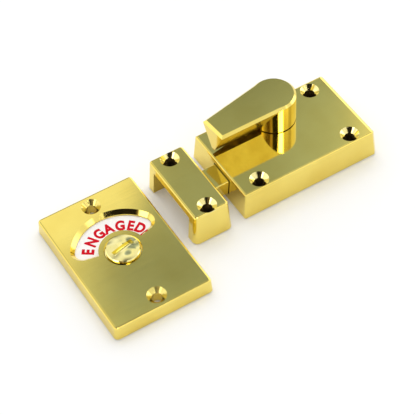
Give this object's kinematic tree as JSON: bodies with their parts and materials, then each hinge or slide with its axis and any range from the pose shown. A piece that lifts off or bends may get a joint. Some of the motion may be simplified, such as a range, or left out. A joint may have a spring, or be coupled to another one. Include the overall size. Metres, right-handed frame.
{
  "type": "toilet indicator bolt",
  "caption": "Brass toilet indicator bolt: turn lever and rack-driven bolt in a case, a keep, and a plate with a coin release over a turning sign disc.",
  "frame": {"origin": "on the turn lever's axis, in the plane that screws to the door", "axes": "+X along the bolt, from the indicator plate to the back of the case; +Z out of the door; the bolt shoots towards -X"},
  "size_m": [0.1274, 0.0596, 0.0247],
  "materials": {
    "polished_brass": "mirror polished and lacquered",
    "plain_steel": "rolled, zinc plated",
    "spring_steel": "oiled spring steel",
    "zinc_screw": "bright zinc",
    "black_screw": "blackened",
    "black_nylon": "moulded",
    "white_sign": "white enamel with printed state words"
  },
  "bodies": {
    "fixed_set": {"bolt_case": "polished_brass", "case_back_plate": "plain_steel", "back_plate_screws": "zinc_screw", "bolt_leaf_spring": "spring_steel", "lever_bush": "black_nylon", "pinion_thrust_washer": "spring_steel", "keep": "polished_brass", "indicator_plate": "polished_brass", "release_spring_washer": "spring_steel", "indicator_back_cover": "plain_steel", "cover_screws": "zinc_screw"},
    "lever": {"turn_lever": "polished_brass", "lever_grub_screw": "black_screw", "turn_pinion": "plain_steel", "pinion_disc_spring": "spring_steel"},
    "bolt": {"bolt_bar": "polished_brass"},
    "release": {"coin_release": "polished_brass", "sign_disc": "white_sign", "release_clip": "spring_steel"}
  },
  "joints": [
    {"name": "lever_turn", "type": "hinge", "parent": "fixed_set", "child": "lever", "pos_m": [0, 0, 0], "axis": [0, 0, 1], "range_deg": [0, 180]},
    {"name": "bolt_slide", "type": "slide", "parent": "fixed_set", "child": "bolt", "axis": [1, 0, 0], "range_m": [0, 0.0132]},
    {"name": "release_turn", "type": "hinge", "parent": "fixed_set", "child": "release", "pos_m": [-0.0782, -0.0202, 0], "axis": [0, 0, 1], "range_deg": [-180, 0]}
  ],
  "couplings": [
    {"joint": "bolt_slide", "follows": "lever_turn", "m_per_rad": 0.0042017},
    {"joint": "release_turn", "follows": "lever_turn", "ratio": -1}
  ]
}
